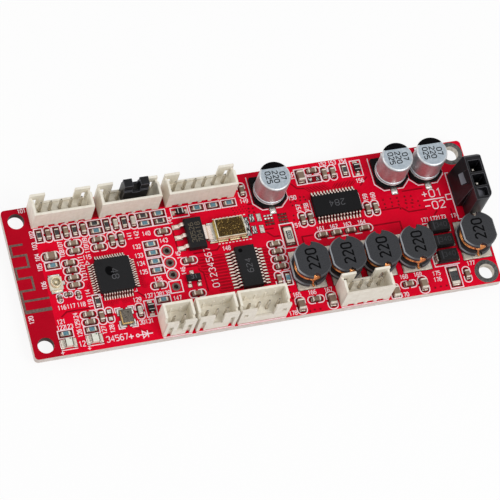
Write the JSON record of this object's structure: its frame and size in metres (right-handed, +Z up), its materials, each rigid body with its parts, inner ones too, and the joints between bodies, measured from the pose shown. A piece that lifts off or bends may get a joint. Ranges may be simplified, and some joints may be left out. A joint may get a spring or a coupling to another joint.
{
  "type": "audio amplifier board",
  "caption": "Long red circuit board with shrouded pin headers, a latched power connector, can capacitors, drum inductors, chips and small parts; four corner holes and a pull-off jumper cap.",
  "frame": {"origin": "under the middle of the board, level with the tips of the solder tails", "axes": "+X along the board towards the power connector, +Y towards the row of three headers, +Z up out of the side that carries the parts"},
  "size_m": [0.0944, 0.0312, 0.0122],
  "materials": {
    "solder_mask": "glossy solder mask on glass-fibre board",
    "header_plastic": "satin cream nylon",
    "black_plastic": "semi-gloss black plastic",
    "tin": "bright tin plating",
    "gold_plate": "gold plating",
    "can_metal": "satin drawn aluminium",
    "ferrite": "matte fired ferrite",
    "copper_wire": "varnished copper wire",
    "mould_compound": "matte moulding compound",
    "fuse_foil": "speckled bronze foil",
    "lamp_lens": "cloudy clear resin",
    "dark_ceramic": "dark ceramic",
    "white_ceramic": "white alumina",
    "blue_glaze": "blue glaze",
    "black_glaze": "black glaze",
    "brown_ceramic": "fired brown ceramic"
  },
  "bodies": {
    "board": {"pcb": "solder_mask", "header_1": "header_plastic", "header_2": "header_plastic", "header_3": "header_plastic", "header_4": "header_plastic", "header_5": "header_plastic", "header_6": "header_plastic", "header_7": "header_plastic", "header_pins": "tin", "can_1": "can_metal", "can_2": "can_metal", "can_3": "can_metal", "can_base_1": "black_plastic", "can_base_2": "black_plastic", "can_base_3": "black_plastic", "can_leads": "tin", "drum_1": "ferrite", "drum_2": "ferrite", "drum_3": "ferrite", "drum_4": "ferrite", "drum_5": "ferrite", "coil_1": "copper_wire", "coil_2": "copper_wire", "coil_3": "copper_wire", "coil_4": "copper_wire", "coil_5": "copper_wire", "drum_leads": "tin", "controller": "mould_compound", "controller_leads": "tin", "audio_chip": "mould_compound", "audio_chip_leads": "tin", "amplifier": "mould_compound", "amplifier_leads": "tin", "regulator": "mould_compound", "regulator_leads": "tin", "transistor": "mould_compound", "transistor_leads": "tin", "power_diodes": "mould_compound", "power_diode_leads": "tin", "signal_diodes": "mould_compound", "signal_diode_leads": "tin", "fuse": "fuse_foil", "fuse_straps": "tin", "lamp_bases": "header_plastic", "lamp_lenses": "lamp_lens", "crystal_base": "dark_ceramic", "crystal_lid": "gold_plate", "coax_base": "header_plastic", "coax_contacts": "gold_plate", "power_housing": "black_plastic", "power_pins": "tin", "resistors": "white_ceramic", "blue_coats": "blue_glaze", "black_coats": "black_glaze", "capacitors": "brown_ceramic", "chip_ends": "tin", "solder_joints": "tin"},
    "jumper": {"jumper_cap": "black_plastic", "jumper_clip": "gold_plate"}
  },
  "joints": [
    {"name": "jumper_pull", "type": "slide", "parent": "board", "child": "jumper", "axis": [0, 0, 1], "range_m": [0, 0.004]}
  ]
}
